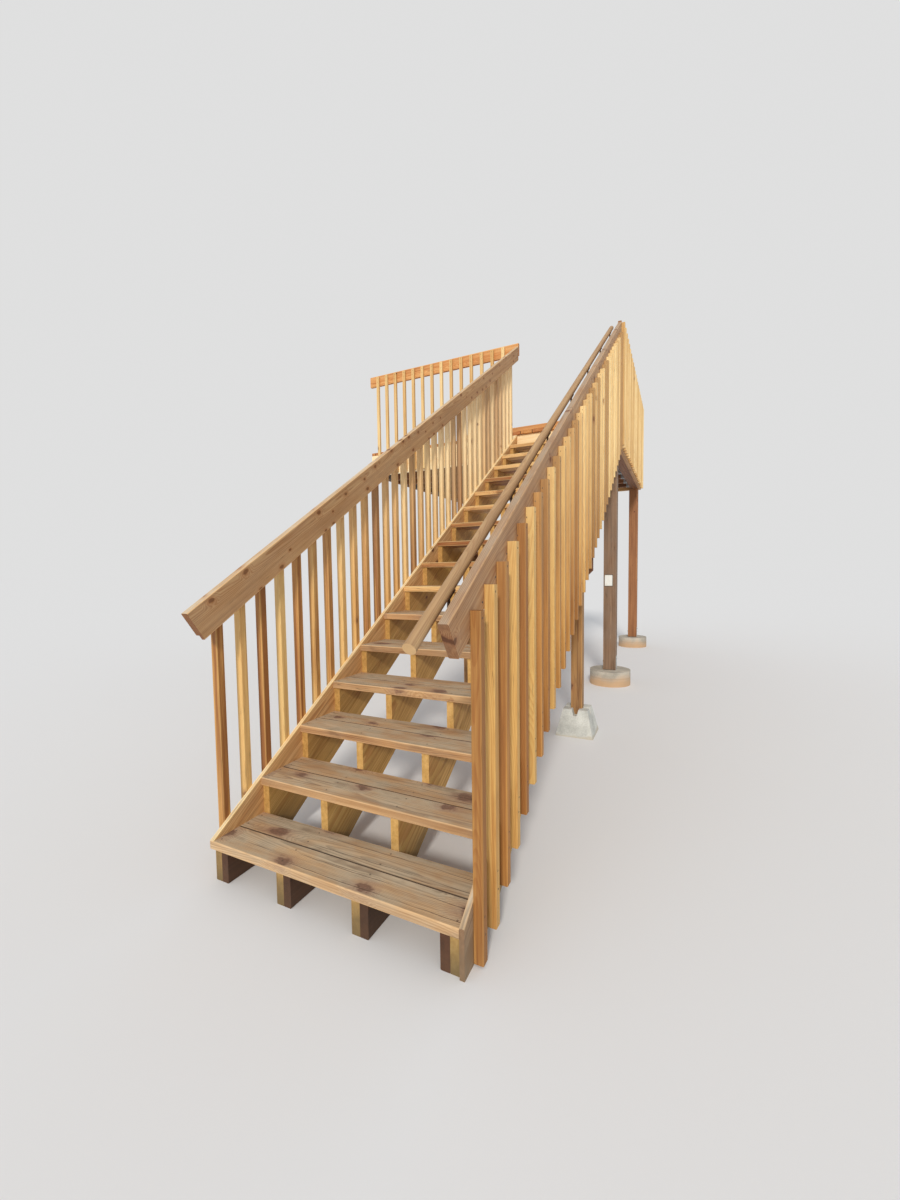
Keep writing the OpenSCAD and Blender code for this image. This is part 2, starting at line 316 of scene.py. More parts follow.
def sloped(node, width=None, thickness=None, top_z=0.0, joint_y=None, pitch=None):
    """Boards that climb with the flight. Lengths are in mm.

    top_z is the height of the upper edge's line over the first nosing. joint_y is where two
    lengths meet end to end. pitch is given where like boards stand side by side.
    """
    mid = middle(node) if node else at(0, 2000, 1500)
    crest = at(0, 0, top_z)
    centre = crest.z * COS - crest.y * SIN - (width / 2000 if width else 0.0)

    def place(graph):
        (x, y, z), facing = graph.position(), graph.normal()
        along = y * COS + z * SIN
        up_it = z * COS - y * SIN - centre
        number, seam = 0.0, None
        if joint_y:
            joint = at(0, joint_y, 0).y
            number = graph.math("GREATER_THAN", y, joint)
            seam = abs(y - joint)
        if pitch:
            number = graph.math("FLOOR", (x - at(-pitch / 2, 0, 0).x) / (pitch / 1000))
        grain = facing[1] * COS + facing[2] * SIN
        half_v = width / 2000 if width else None
        half_w = thickness / 2000 if thickness else None
        return Board(along, up_it, x - mid.x, grain, number, half_v, half_w, None, seam)
    return place


def tread_boards(graph):
    """Two boards a tread: the tread is told by the height, the board by the place on it."""
    x, y, z = graph.position()
    spare = 60.0
    low = at(0, 0, RISE - BOARD_T - spare)
    tread = graph.math("FLOOR", (z - low.z) / (RISE / 1000))
    back = y - low.y - tread * (RUN / 1000)
    second = graph.math("GREATER_THAN", back, (BOARD_W + TREAD_GAP / 2) / 1000)
    v = back - second * ((BOARD_W + TREAD_GAP) / 1000) - BOARD_W / 2000
    w = z - low.z - tread * (RISE / 1000) - (spare + BOARD_T / 2) / 1000
    number = tread * 2.0 + second
    close = v * (1.0 - second * 2.0)
    return Board(x, v, w, graph.normal()[0], number, BOARD_W / 2000, BOARD_T / 2000, close)


# What a wood finish is made from, unless its material says otherwise
PLAIN_WOOD = {
    "seed": 0.0,         # which tree the boards come from
    "spread": 0.5,       # how far boards differ from each other
    "grey": 0.0,         # weathering all over
    "grey_up": 0.0,      # weathering of faces that look up, and a painted highlight on them
    "knots": 0.16,       # share of the knot cells that hold one
    "knot_size": 0.008,  # radius of the smallest knot, m
    "knot_depth": 0.85,  # darkness of the knots
    "knot_cell": 0.125,  # size of a knot cell, m
    "ring": 0.0046,      # distance between growth rings, m
    "contrast": 0.5,     # darkness of late wood
    "streaks": 1.0,      # strength of the slow bands along the grain
    "ruddy": 0.3,        # redness that differs from board to board
    "stain": 0.12,       # dark blotches
    "end_dark": 0.5,     # darkness of sawn ends
    "end_pale": 0.0,     # painted highlight on sawn ends
    "foot": 0.0,         # soil splashed near the ground
    "soil_tone": (134, 106, 80),
    "pale_tone": (255, 229, 170),
    "checks": 0.35,      # fine drying cracks
    "splits": 0.0,       # long open cracks
    "worn": 0.35,        # pale arrises, from wear and a painted highlight
    "dark_sides": 0.0,   # painted shade on the narrow sides that face a neighbour
    "pale_up": 0.0,      # paleness that grows with the height
    "rough": 0.62,
    "grey_tone": (158, 142, 124),
    "knot_tone": (92, 54, 36),
    "halo_tone": (150, 96, 64),
}

# Tones that every board shares
RED_CAST = (255, 226, 200)
LATE_WOOD = (208, 164, 118)
FIBRE_TONE = (208, 188, 164)
BLOTCH_TONE = (138, 112, 98)
END_TONE = (188, 156, 130)
END_RINGS = (110, 70, 44)
# Painted shade on the narrow sides of boards that face a close neighbour
GRIME = (48, 34, 26)
JOINT_SHADE = (52, 36, 28)
CRACK_SHADE = (56, 38, 26)

# How far apart in the tree two boards can be cut: along, across and through, in m
TREE_REACH = (37.0, 11.0, 5.0)

# Colour grows paler between these heights, in mm, and soil splashes up to this one, in m
BLEACH_LOW, BLEACH_HIGH = 900.0, 2900.0
SPLASH_TOP = 0.26


class Wood(Finish):
    """Sawn lumber. tones are its light, middle and dark board colours."""

    def __init__(self, name, place, tones, look):
        super().__init__(name)
        self.tones, self.look = tones, look
        self.board = place(self)
        # Three random numbers a board, for its redness, its darkness and how deep its pith lies
        key = self.board.number * 1.37 + (look["seed"] + 0.5)
        self.red_chance = self.chance(key)
        self.dark_chance = self.chance(key + 17.3)
        self.deep_chance = self.chance(key + 41.9)
        # Each board is cut from another place in the tree
        self.tree_u = self.board.u + self.red_chance * TREE_REACH[0]
        self.tree_v = self.board.v + self.dark_chance * TREE_REACH[1]
        self.tree_w = self.board.w + self.deep_chance * TREE_REACH[2]
        # Fibre, slow streaks, bands and patches are all drawn out along the grain
        self.fibre = self.drawn_out(9.0, 560.0, detail=3.0, rough=0.65)
        self.streak = self.drawn_out(0.9, 58.0, detail=3.0, rough=0.6)
        self.band = self.drawn_out(1.6, 19.0)
        self.patch = self.drawn_out(4.2, 11.0, detail=3.0, rough=0.6)
        self.end = self.step(abs(self.board.grain), 0.7, 0.95)

    def drawn_out(self, along, across, detail=2.0, rough=0.5, warp=0.0):
        """Noise with so many swings a metre along the grain and across it."""
        where = self.vector(self.tree_u * along, self.tree_v * across, self.tree_w * across)
        return self.noise(where, 1.0, detail, rough, warp)

    def wander(self, along, lane, level, detail=1.0, rough=0.5):
        """Noise that changes only along the board."""
        return self.noise(self.vector(self.tree_u * along, lane, level), 1.0, detail, rough)

    def knots(self):
        """Knots go right through the board, at some of the cells of a flat Voronoi pattern.

        Gives the distance in knot sizes, and the masks of the knots and of their halos.
        """
        cell, smallest, share = self.look["knot_cell"], self.look["knot_size"], self.look["knots"]
        spot = self.vector(self.tree_u * 0.62, self.tree_v + self.tree_w * 0.4, 0.0)
        in_tree = self.vector(self.tree_u, self.tree_v, self.tree_w)
        wobble = (self.noise(in_tree, 42.0, detail=3.0) - 0.5) * (smallest * 2.4)
        reach = self.cells(spot, 1 / cell, "Distance", 0.9, "2D") * cell + wobble
        tag = self.cells(spot, 1 / cell, "Color", 0.9, "2D")
        size = self.channel(tag, 1) * (smallest * 1.3) + smallest
        there = self.step(self.channel(tag, 0), 0.99 - share, 1.01 - share)
        near = reach / size
        frayed = near + (self.drawn_out(22.0, 160.0) - 0.5) * 0.9
        knot = self.step(frayed, 1.3, 0.6) * there
        halo = self.step(near, 3.4, 0.6) * there
        return near, knot, halo

    def late_wood(self, halo):
        """The dark lines of growth rings, about a pith that wanders along the board.

        The pith lies about 45 mm behind the board's middle.
        """
        sway = self.wander(0.9, self.red_chance * 9.0, 0.3) - 0.5
        lean = self.wander(0.7, self.dark_chance * 9.0, 4.1) - 0.5
        pith_v = self.board.v + (self.dark_chance - 0.5) * 0.16 + sway * 0.12
        pith_w = self.board.w + (self.deep_chance - 0.5) * 0.07 + 0.045 + lean * 0.07
        ripple = self.drawn_out(2.4, 15.0) - 0.5
        radius = self.math("SQRT", pith_v * pith_v + pith_w * pith_w)
        radius = radius + ripple * 0.008 + halo * 0.016
        turn = self.math("FRACT", radius / self.look["ring"])
        return self.step(turn, 0.3, 0.9) * self.step(turn, 1.0, 0.95)

    def own_colour(self):
        """The board's own colour, light to dark, with its streaks, and paler higher up."""
        light, middle_tone, dark = (srgb(*tone) for tone in self.tones)
        streaks = self.look["streaks"]
        pick = (self.dark_chance - 0.5) * (2 * self.look["spread"]) + 0.5
        pick = pick + (self.streak - 0.5) * (1.5 * streaks) + (self.band - 0.5) * (1.1 * streaks)
        pick = self.clamp(pick)
        colour = self.mix(self.clamp(pick * 2.0), light, middle_tone)
        colour = self.mix(self.clamp(pick * 2.0 - 1.0), colour, dark)
        colour = self.tint(self.red_chance * self.look["ruddy"], colour, srgb(*RED_CAST))
        if self.look["pale_up"]:
            high = self.step(self.position()[2], at(0, 0, BLEACH_LOW).z, at(0, 0, BLEACH_HIGH).z)
            bleached = self.clamp(high * (1.2 - self.dark_chance) * self.look["pale_up"])
            colour = self.mix(bleached, colour, srgb(*self.look["pale_tone"]))
        return colour

    def grained(self, colour, late):
        """Late wood and coarse fibre darken a colour."""
        colour = self.tint(late * self.look["contrast"], colour, srgb(*LATE_WOOD))
        return self.tint(self.step(self.fibre, 0.38, 0.72) * 0.35, colour, srgb(*FIBRE_TONE))

    def weathering(self, late):
        """How far the wood is grey, in patches and most of all where it looks up, and its grey; on
        faces that look up it is also a painted highlight.
        """
        tone = self.look["grey_tone"]
        up = self.step(self.normal()[2], 0.35, 0.9)
        share = up * self.look["grey_up"] + self.look["grey"]
        grey = self.clamp(share * self.step(self.patch, 0.28, 0.7, (0.35, 1.35)))
        dirt = self.clamp(late * 0.35 + self.streak * 0.5 + self.step(self.fibre, 0.45, 0.75) * 0.35)
        return grey, self.mix(dirt, srgb(*shade(tone, 1.06)), srgb(*shade(tone, 0.7)))

    def with_knots(self, colour, near, knot, halo):
        """Knots, their reddish halos and dark blotches."""
        tone = self.look["knot_tone"]
        colour = self.mix(halo * halo * 0.55, colour, srgb(*self.look["halo_tone"]))
        heart = self.math("FRACT", near * 2.6)
        core = self.mix(heart, srgb(*tone), srgb(*shade(tone, 0.62)))
        colour = self.mix(knot * self.look["knot_depth"], colour, core)
        blotches = self.step(self.patch, 0.56, 0.78) * self.look["stain"]
        return self.tint(blotches, colour, srgb(*BLOTCH_TONE))

    def with_ends(self, colour, late):
        """Sawn ends drink more stain and show the rings, and can carry a painted highlight."""
        drink = self.look["end_dark"]
        colour = self.tint(self.end * drink, colour, srgb(*END_TONE))
        colour = self.mix(self.end * late * (0.1 + drink * 0.4), colour, srgb(*END_RINGS))
        return self.mix(self.end * self.look["end_pale"], colour, srgb(*shade(self.tones[0], 1.15)))

    def with_edges(self, colour):
        """Arrises are pale from wear and a painted highlight, close sides get painted shade, joints
        are dark.

        Steps over distances are in metres: the pale arris band is 7 mm wide, a joint is 4 mm wide.
        """
        board, look = self.board, self.look
        if board.half_v and board.half_w:
            off_edge = board.half_v - abs(board.v) + (board.half_w - abs(board.w))
            edge = self.step(off_edge + (self.fibre - 0.5) * 0.004, 0.007, 0.0015)
            edge = edge * (1.0 - self.end)
            if board.gap_v:
                edge = edge * self.step(board.gap_v, 0.03, 0.01)
            # Pale arrises, from wear and a painted highlight
            colour = self.mix(edge * look["worn"], colour, srgb(*shade(self.tones[0], 1.12)))
            # Painted shade on the narrow sides that face a close neighbour
            if board.gap_v and look["dark_sides"]:
                side = self.step(board.gap_v, board.half_v - 0.0035, board.half_v - 0.001)
                colour = self.mix(side * look["dark_sides"], colour, srgb(*GRIME))
        if board.seam:
            colour = self.mix(self.step(board.seam, 0.0022, 0.0012), colour, srgb(*JOINT_SHADE))
        return colour

    def cracks(self):
        """Drying checks are short lines along the grain, splits long open ones."""
        line = self.drawn_out(1.5, 75.0, detail=1.0, rough=0.4, warp=0.4)
        checked = self.step(self.drawn_out(2.1, 16.0, detail=1.0), 0.54, 0.64)
        crack = self.step(abs(line - 0.5), 0.016, 0.003) * checked * self.look["checks"]
        if self.look["splits"]:
            drift = self.wander(2.6, self.deep_chance * 31.0, 2.2, detail=3.0, rough=0.6) - 0.5
            shown = self.step(self.wander(1.7, self.red_chance * 23.0, 7.7), 0.47, 0.55)
            for chance in (self.red_chance, self.deep_chance):
                off = abs(self.board.v - (chance - 0.5) * 0.105 - drift * 0.03)
                split = self.step(off, 0.0017, 0.0006) * shown * self.look["splits"]
                crack = self.math("MAXIMUM", crack, split)
        return crack

    def with_soil(self, colour):
        """Soil splashed on low parts."""
        if not self.look["foot"]:
            return colour
        height = self.position()[2] - cad_low.z
        splash = self.step(height + (self.patch - 0.5) * 0.2, SPLASH_TOP, 0.0) * self.look["foot"]
        return self.mix(splash, colour, srgb(*self.look["soil_tone"]))


def wood(name, place, tones, **changes):
    """A finish of sawn lumber that differs from PLAIN_WOOD by some changes."""
    look = {**PLAIN_WOOD, **changes}
    finish = Wood(name, place, tones, look)
    near, knot, halo = finish.knots()
    late = finish.late_wood(halo)
    grey, dull = finish.weathering(late)
    crack = finish.cracks()
    # The grey share is weathering, and on faces that look up also a painted highlight
    colour = finish.mix(grey, finish.grained(finish.own_colour(), late), dull)
    colour = finish.with_knots(colour, near, knot, halo)
    colour = finish.with_edges(finish.with_ends(colour, late))
    colour = finish.with_soil(finish.mix(crack, colour, srgb(*CRACK_SHADE)))
    relief = late * 0.35 + finish.fibre * 0.55 + finish.streak * 0.35 + knot * 0.4 - crack * 2.4
    roughness = finish.fibre * 0.16 - late * 0.08 + grey * 0.12 + (look["rough"] - 0.06)
    finish.feed(colour, finish.clamp(roughness), relief)
    finish.bsdf.inputs["Specular IOR Level"].default_value = 0.3
    return finish.material


def concrete(name, tone, soil, soil_height, bands):
    """Cast concrete with pores, dull bands from pouring and soil splashed up its sides."""
    grit_tone, pore_tone = (205, 203, 196), (112, 104, 94)
    finish = Finish(name)
    place = finish.vector(*finish.position())
    cloud = finish.noise(place, 6.0, detail=4.0, rough=0.6)
    grain = finish.noise(place, 110.0, detail=4.0, rough=0.7)
    pore = finish.step(finish.cells(place, 70.0, "Distance"), 0.2, 0.08)
    pore = pore * finish.step(cloud, 0.4, 0.6)
    pale_tone, dull_tone = shade(tone, 1.04), shade(tone, 0.86)
    colour = finish.mix(finish.step(cloud, 0.3, 0.7), srgb(*pale_tone), srgb(*dull_tone))
    colour = finish.tint(finish.step(grain, 0.35, 0.7) * 0.45, colour, srgb(*grit_tone))
    colour = finish.mix(pore * 0.5, colour, srgb(*pore_tone))
    height = finish.position()[2] - cad_low.z
    side = finish.step(finish.normal()[2], 0.75, 0.35)
    lifts = finish.noise(finish.vector(0.0, 0.0, height), 38.0)
    ragged = height + (cloud - 0.5) * 0.14 + (grain - 0.5) * 0.03
    splash = finish.step(ragged, soil_height, soil_height * 0.2)
    colour = finish.mix(splash * side * 0.85, colour, srgb(*soil))
    band = side * finish.step(lifts, 0.5, 0.62) * bands
    colour = finish.mix(band, colour, srgb(*shade(soil, 0.86)))
    relief = grain * 0.5 + cloud * 0.6 - pore * 1.6
    finish.feed(colour, finish.clamp(grain * 0.15 + 0.8), relief, bump=0.45, depth=0.003)
    return finish.material


def metal(name, tone, metallic, rough, rust):
    """Steel with a mottled zinc coat or dull paint, rusty in places."""
    rust_tone = (124, 78, 46)
    finish = Finish(name)
    place = finish.vector(*finish.position())
    flake = finish.channel(finish.cells(place, 130.0, "Color"), 0)
    cloud = finish.noise(place, 14.0, detail=3.0, rough=0.6)
    colour = finish.mix(flake * 0.4, srgb(*tone), srgb(*shade(tone, 0.74)))
    colour = finish.mix(finish.step(cloud, 0.5, 0.72) * rust, colour, srgb(*rust_tone))
    roughness = finish.clamp(cloud * 0.2 - flake * 0.06 + rough)
    finish.feed(colour, roughness, flake + cloud, bump=0.15, depth=0.0006)
    finish.bsdf.inputs["Metallic"].default_value = metallic
    return finish.material


def smooth_plastic(name, tone):
    """Moulded plastic with a very fine texture and a little dust."""
    dust_tone = (196, 184, 164)
    finish = Finish(name)
    place = finish.vector(*finish.position())
    grain = finish.noise(place, 900.0)
    dust = finish.noise(place, 30.0, detail=3.0, rough=0.6)
    colour = finish.mix(finish.step(dust, 0.45, 0.75) * 0.25, srgb(*tone), srgb(*dust_tone))
    finish.feed(colour, finish.clamp(dust * 0.25 + 0.3), grain, bump=0.06, depth=0.0003)
    return finish.material


# Board colours, light to dark
WORN_TAN = ((214, 176, 128), (190, 150, 104), (154, 114, 76))
CREAM = ((246, 218, 162), (234, 198, 138), (212, 168, 106))
# Lighter than the board's own colour: painted sunlight for the top riser
PALE_CREAM = ((255, 244, 206), (255, 234, 190), (246, 212, 156))
HONEY = ((236, 202, 148), (216, 174, 118), (180, 132, 82))
SAWN = ((230, 198, 132), (208, 174, 106), (180, 144, 82))
ORANGE = ((230, 182, 122), (216, 158, 98), (184, 124, 76))
DEEP_ORANGE = ((234, 182, 116), (220, 158, 94), (194, 132, 80))
TAN = ((204, 168, 122), (186, 146, 102), (154, 116, 78))
HANDRAIL_TAN = ((212, 177, 128), (190, 154, 112), (162, 126, 92))
GREY_TAN = ((182, 154, 120), (162, 132, 100), (132, 106, 80))
RED_TAN = ((204, 166, 122), (182, 142, 102), (150, 110, 76))
POST_TAN = ((190, 148, 92), (162, 120, 72), (118, 84, 50))
POST_GREY = ((160, 132, 106), (138, 112, 88), (108, 86, 66))
POST_BROWN = ((178, 130, 88), (154, 108, 72), (120, 80, 52))
BROWN = ((150, 104, 68), (122, 82, 54), (92, 60, 40))
DARK = ((88, 57, 42), (68, 43, 31), (50, 31, 23))
TREAD_MIX = ((240, 208, 150), (214, 172, 116), (156, 106, 66))
MIXED = ((236, 202, 136), (214, 168, 102), (158, 108, 62))
OLIVE = ((218, 178, 108), (194, 146, 82), (160, 113, 62))


def paint(node, material):
    """Gives a node its one material."""
    data = nodes[node].data
    data.materials.clear()
    data.materials.append(material)


def paint_wood(node, place, tones, name=None, **look):
    """Gives a node its own sawn lumber, called after the node where no name is given."""
    paint(node, wood(name or node + "_wood", place, tones, **look))


def paint_board(node, axis, tones, **look):
    """Gives a node that is one square board its own sawn lumber."""
    paint_wood(node, one_board(node, axis), tones, **look)


# The lower treads, which are scuffed and dull, end with this one
LAST_LOW_TREAD = 6


def paint_treads():
    """The first treads are scuffed and dull, the upper ones fresher and more mixed."""
    tread_look = {"knot_size": 0.016, "contrast": 0.5, "checks": 0.6, "splits": 0.9, "worn": 0.5,
                  "end_dark": 0.3, "dark_sides": 0.85, "knot_depth": 0.7, "streaks": 1.5}
    low_look = {"seed": 3.0, "spread": 0.25, "knots": 0.3, "stain": 0.5, "grey_tone": (198, 178, 150),
                "knot_tone": (120, 82, 68), "halo_tone": (160, 124, 102), **tread_look}
    # Seed 2842 orders the upper treads' dark and light boards; the darker ones partly stand for
    # painted tree shadow
    high_look = {"seed": 2842.0, "spread": 0.6, "knots": 0.16, "stain": 0.25, "grey_up": 0.5,
                 "grey_tone": (182, 158, 128), "knot_tone": (112, 70, 48), **tread_look}
    # The first tread is greyer on its front and sides, partly weathering and partly painted shade
    first = wood("first_tread_wood", tread_boards, WORN_TAN, grey=0.5, grey_up=0.35, **low_look)
    low = wood("low_tread_wood", tread_boards, WORN_TAN, grey=0.2, grey_up=0.65, **low_look)
    high = wood("high_tread_wood", tread_boards, TREAD_MIX, **high_look)
    paint("tread_01", first)
    for i in range(2, TREADS + 1):
        paint(f"tread_{i:02d}", low if i <= LAST_LOW_TREAD else high)


def paint_stringers():
    """The stringers, the dark blocks beside their feet and the skirts."""
    sawn = wood("stringer_wood", sloped(None, pitch=STRINGER_PITCH), SAWN, seed=11.0, spread=0.35,
                knots=0.04, foot=0.9, end_dark=0.0, stain=0.3, soil_tone=(104, 88, 60))
    for i in range(1, len(STRINGER_X) + 1):
        paint(f"stringer_{i}", sawn)
    blocks = board_row("foot_blocks", "y", "x", BOARD_T, STRINGER_PITCH, BOARD_T)
    paint_wood("foot_blocks", blocks, DARK, "foot_block_wood", seed=20.0, spread=0.4, knots=0.1,
               foot=0.2, stain=0.4, worn=0.2)
    skirt = {"width": SKIRT_W, "thickness": SKIRT_T, "top_z": RISE}
    # The pale tone on the skirts' top faces is partly a painted highlight
    paint_wood("skirt_left", sloped("skirt_left", **skirt), HONEY, seed=31.0, spread=0.1, knots=0.16,
               grey=0.1, grey_up=0.7, worn=0.9, streaks=1.4, grey_tone=(240, 216, 178))
    paint_wood("skirt_right", sloped("skirt_right", **skirt), GREY_TAN, seed=33.0, spread=0.1,
               knots=0.16, grey=0.35, grey_up=0.7, foot=0.5, worn=0.9, end_dark=0.8,
               grey_tone=(206, 188, 162), soil_tone=(112, 98, 76))


def paint_supports():
    """The cross beam under the flight, and all the posts."""
    paint_board("mid_beam", "x", BROWN, seed=35.0, spread=0.2, knots=0.12)
    for side, seed in (("left", 37.0), ("right", 39.0)):
        paint_board(f"mid_post_{side}", "z", POST_TAN, seed=seed, spread=0.2, knots=0.18, grey=0.1,
                    stain=0.6, foot=0.3, streaks=1.4, ruddy=0.0)
    paint_board("post_near", "z", POST_GREY, seed=61.0, spread=0.1, knots=0.18, grey=0.3, foot=0.45,
                checks=0.7, grey_tone=(146, 128, 112), worn=0.3)
    paint_board("post_far", "z", POST_BROWN, seed=63.0, spread=0.1, knots=0.18, foot=0.45, checks=0.6)


def paint_deck():
    """The deck's frame and its boards."""
    # The top riser's colour is lightened with painted sunlight
    paint_board("rim_front", "x", PALE_CREAM, seed=41.0, spread=0.15, knots=0.12, contrast=0.2,
                ruddy=0.0)
    paint_board("rim_right", "y", TAN, seed=43.0, spread=0.2, knots=0.14)
    paint_board("rim_rear", "x", HONEY, seed=45.0, spread=0.2, knots=0.14)
    paint_board("ledger", "y", BROWN, seed=47.0, spread=0.3)
    plies = board_row("deck_beam", "y", "x", PLIES_LOW, BOARD_T + PLY_GAP, BOARD_T)
    paint_wood("deck_beam", plies, BROWN, "beam_wood", seed=49.0, spread=0.4, knots=0.12)
    joists = board_row("joists", "x", "y", RIM_Y + JOIST_STEP, JOIST_STEP, BOARD_T)
    paint_wood("joists", joists, BROWN, "joist_wood", seed=51.0, spread=0.5, knots=0.12)
    boards = board_row("deck_boards", "y", "x", DECK_LOW, DECK_PITCH, BOARD_W)
    paint_wood("deck_boards", boards, DEEP_ORANGE, "deck_wood", seed=57.0, spread=0.7, grey_up=0.4,
               knots=0.12, knot_size=0.009, knot_depth=0.65, knot_tone=(120, 72, 46), stain=0.3,
               splits=0.5, dark_sides=0.6, end_dark=0.1, grey_tone=(168, 150, 130))


def paint_rails():
    """The rails beside the flight and round the deck, and the round handrail."""
    on_edge = {"width": BOARD_W, "thickness": BOARD_T, "top_z": RISE + GUARD_H}
    # The pale tone on the left rail's top face is partly a painted highlight
    paint_wood("rail_left", sloped("rail_left", **on_edge), TAN, seed=71.0, spread=0.1, knots=0.6,
               knot_size=0.005, knot_cell=0.085, knot_depth=0.75, grey=0.12, grey_up=0.6, worn=0.8,
               end_dark=0.9, grey_tone=(224, 204, 174), knot_tone=(124, 76, 44),
               halo_tone=(170, 112, 66))
    jointed = sloped("rail_right", joint_y=RAIL_JOINT, **on_edge)
    paint_wood("rail_right", jointed, RED_TAN, seed=74.0, spread=0.2, knots=0.35, knot_size=0.006,
               knot_cell=0.1, knot_depth=0.7, grey=0.3, grey_up=0.6, worn=0.3, end_dark=0.5,
               grey_tone=(184, 158, 132))
    paint_board("guard_rail_front", "x", ORANGE, seed=75.0, spread=0.1, knots=0.2, grey_up=0.1,
                worn=0.6)
    paint_board("guard_rail_right", "y", TAN, seed=77.0, spread=0.2, knots=0.2, grey_up=0.3)
    paint_board("guard_rail_rear", "x", ORANGE, seed=79.0, spread=0.2, knots=0.2, grey_up=0.2)
    # The handrail's lower end gets a painted highlight
    paint_wood("handrail", sloped("handrail"), HANDRAIL_TAN, seed=81.0, spread=0.1, knots=0.04,
               contrast=0.25, grey=0.25, checks=0.3, end_dark=0.0, end_pale=0.45,
               grey_tone=(174, 148, 114), ruddy=0.0)


def paint_balusters():
    """Balusters of the flight and the deck. A seed sets their order of dark and light."""
    stair_look = {"spread": 0.7, "knots": 0.05, "ring": 0.0034, "knot_size": 0.005, "knot_depth": 0.6,
                  "knot_tone": (126, 78, 44), "contrast": 0.32, "foot": 0.12, "streaks": 1.3,
                  "pale_up": 0.9, "ruddy": 0.4, "worn": 0.12}
    # The seeds order the balusters' dark and light; the darker first baluster on the right partly
    # stands for painted shade
    for side, seed, tones, pale_tone in (("left", 1231.0, MIXED, (255, 232, 186)),
                                         ("right", 2511.0, OLIVE, (255, 229, 170))):
        node = f"balusters_{side}"
        row = board_row(node, "z", "y", FLIGHT_LOW, FLIGHT_PITCH, BALUSTER)
        paint_wood(node, row, tones, seed=seed, pale_tone=pale_tone, **stair_look)
    guard_looks = {"front": (CREAM, {"seed": 95.0, "spread": 0.35, "ruddy": 0.1, "contrast": 0.3}),
                   "right": (CREAM, {"seed": 97.0, "spread": 0.6, "ruddy": 0.1, "contrast": 0.3}),
                   "rear": (MIXED, {"seed": 99.0, "spread": 0.6})}
    for row in GUARD_ROWS:
        node = f"guard_balusters_{row.side}"
        tones, look = guard_looks[row.side]
        place = board_row(node, "z", row.axis, row.low, row.pitch, BALUSTER)
        paint_wood(node, place, tones, f"guard_{row.side}_wood", knots=0.08, knot_size=0.006, **look)


def paint_concrete():
    """Round footings poured in the soil, and precast blocks."""
    footing_mix = concrete("footing_mix", (192, 184, 170), soil=(196, 158, 118), soil_height=0.15,
                           bands=0.3)
    block_mix = concrete("block_mix", (212, 213, 207), soil=(186, 178, 162), soil_height=0.03,
                         bands=0.05)
    for name in ("footing_near", "footing_far"):
        paint(name, footing_mix)
    for name in ("pier_block_left", "pier_block_right"):
        paint(name, block_mix)


paint_treads()
paint_stringers()
paint_supports()
paint_deck()
paint_rails()
paint_balusters()
paint_concrete()
zinc = metal("zinc", (182, 184, 184), metallic=0.7, rough=0.42, rust=0.15)
dark_steel = metal("dark_steel", (84, 70, 58), metallic=0.4, rough=0.5, rust=0.5)
paint("post_bases", zinc)
paint("handrail_brackets", dark_steel)


def as_mesh(name, bm):
    """Turns a bmesh into a mesh and frees it."""
    mesh = bpy.data.meshes.new(name)
    bm.to_mesh(mesh)
    bm.free()
    return mesh


def as_object(name, bm, material):
    """A mesh object of one material, in the scene."""
    mesh = as_mesh(name, bm)
    mesh.materials.append(material)
    made = bpy.data.objects.new(name, mesh)
    bpy.context.scene.collection.objects.link(made)
    return made


def add_piece(name, bm, material):
    """Makes a mesh object that rides on the part."""
    piece = as_object(name, bm, material)
    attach(piece, "root")


def stamp(bm, mesh, matrix):
    """Adds a copy of a mesh, placed by a matrix."""
    copy = mesh.copy()
    copy.transform(matrix)
    bm.from_mesh(copy)
    bpy.data.meshes.remove(copy)


def screw_head(radius, height, recess, sides):
    """A screw, nail or bolt head on the XY plane, in metres, with a recess for the driver."""
    bm = bmesh.new()
    sunk = 0.0006
    centred = Matrix.Translation((0, 0, (height - sunk) / 2))
    bmesh.ops.create_cone(bm, cap_ends=True, segments=sides, radius1=radius, radius2=radius * 0.9,
                          depth=height + sunk, matrix=centred)
    if recess:
        top = max(bm.faces, key=lambda face: face.calc_center_median().z)
        bmesh.ops.inset_individual(bm, faces=[top], thickness=radius * 0.42)
        bmesh.ops.inset_individual(bm, faces=[top], thickness=radius * 0.08, depth=-recess)
    return as_mesh("head", bm)


WOOD_SCREW = screw_head(radius=0.0042, height=0.0004, recess=0.0007, sides=8)
NAIL = screw_head(radius=0.0048, height=0.0012, recess=0.0, sides=8)
BOLT = screw_head(radius=0.0105, height=0.0065, recess=0.0, sides=6)


def put_head(bm, head, place, normal):
    """Stamps a head on a face, turned at random."""
    turn = Vector(normal).to_track_quat("Z", "Y").to_matrix().to_4x4()
    spin = Matrix.Rotation(rng.uniform(0, math.tau), 4, "Z")
    stamp(bm, head, Matrix.Translation(place) @ turn @ spin)


def add_box(bm, low, high, round_off=0.0004):
    """A plate or bar between two corners in metres, its edges rounded."""
    low, high = Vector(low), Vector(high)
    box = bmesh.new()
    bmesh.ops.create_cube(box, size=1.0)
    bmesh.ops.scale(box, vec=high - low, verts=box.verts)
    bmesh.ops.bevel(box, geom=box.edges[:], offset=round_off, affect="EDGES", segments=1, profile=0.5,
                    material=-1)
    mesh = as_mesh("box", box)
    stamp(bm, mesh, Matrix.Translation((low + high) / 2))
    bpy.data.meshes.remove(mesh)


def jitter(amount=2.5):
    """How far a head is off its mark, in mm."""
    return rng.uniform(-amount, amount)


